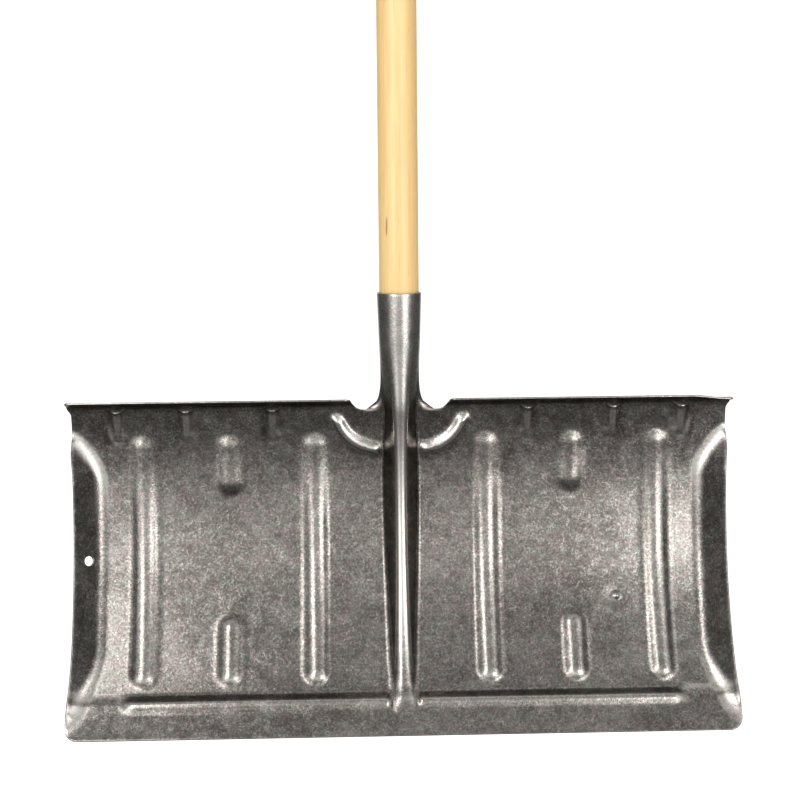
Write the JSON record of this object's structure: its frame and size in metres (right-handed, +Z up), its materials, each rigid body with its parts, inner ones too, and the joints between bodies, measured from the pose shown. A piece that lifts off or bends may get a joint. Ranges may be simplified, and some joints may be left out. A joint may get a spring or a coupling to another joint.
{
  "type": "snow shovel",
  "caption": "Wide pressed steel snow shovel blade with stiffening ribs and a rolled socket on a straight round wooden handle, for pushing and lifting snow.",
  "frame": {"origin": "middle of the bounding box at the height of the cutting edge", "axes": "+Z up along the handle, +X across the blade to the viewer's right when facing the hollow side, -Y out of the hollow side"},
  "size_m": [0.54, 0.0934, 1.3454],
  "materials": {
    "steel_sheet": "bare pressed steel, mottled and finely scratched, brighter on ridges",
    "pale_wood": "pale straight-grained wood under a thin satin varnish",
    "screw_steel": "plain zinc-coated steel"
  },
  "bodies": {
    "root": {"blade": "steel_sheet", "handle": "pale_wood", "screw_upper": "screw_steel", "screw_lower": "screw_steel"}
  },
  "joints": []
}
